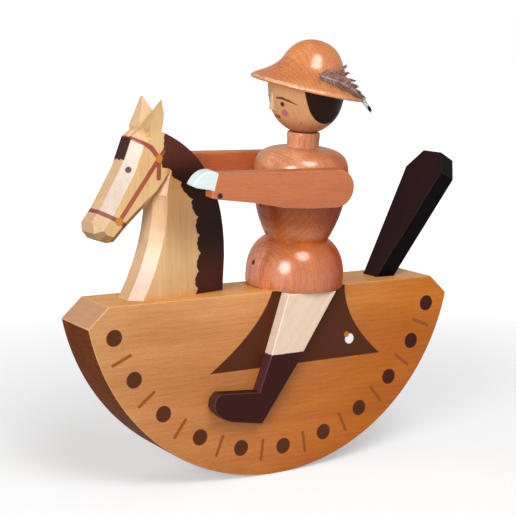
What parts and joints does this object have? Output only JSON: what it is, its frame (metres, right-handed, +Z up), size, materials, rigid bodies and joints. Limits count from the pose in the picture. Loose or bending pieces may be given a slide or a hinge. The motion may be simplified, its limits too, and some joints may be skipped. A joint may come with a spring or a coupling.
{
  "type": "wooden balancing rider toy",
  "caption": "Wooden rocking toy: a jointed rider in a hat sits behind a carved horse's head on a painted half-round rocker board.",
  "frame": {"origin": "on the lowest line of the rocking arc, halfway across the board", "axes": "+Z up, the horse faces -X, the pictured near side is -Y"},
  "size_m": [0.2029, 0.0589, 0.2031],
  "materials": {
    "honey_wood": "satin lacquer",
    "pale_maple": "satin lacquer",
    "leg_wood": "satin lacquer with a dark painted boot",
    "coat_stain": "reddish stain under clear lacquer",
    "dark_paint": "dark brown satin paint",
    "dowel_wood": "raw",
    "feather": "downy feather"
  },
  "bodies": {
    "toy": {"rocker_board": "honey_wood", "horse": "pale_maple", "horse_dowels": "dowel_wood", "tail": "dark_paint", "tail_dowel": "dowel_wood", "torso": "coat_stain", "torso_dowel": "dowel_wood", "near_leg": "leg_wood", "far_leg": "leg_wood", "near_leg_dowels": "dowel_wood", "far_leg_dowels": "dowel_wood"},
    "arms": {"arm_axle": "dowel_wood", "near_arm": "coat_stain", "far_arm": "coat_stain"},
    "head": {"head": "pale_maple", "neck_peg": "dowel_wood", "nose": "pale_maple", "hat": "coat_stain", "feather": "feather"}
  },
  "joints": [
    {"name": "arm_swing", "type": "hinge", "parent": "toy", "child": "arms", "pos_m": [0.01949, -0.0031, 0.13866], "axis": [0, 0.9959, 0.0906], "range_deg": [-40, 42]},
    {"name": "head_turn", "type": "hinge", "parent": "toy", "child": "head", "pos_m": [0.0162, 0, 0.088], "axis": [0.0157, -0.061, 0.998], "continuous": true}
  ]
}
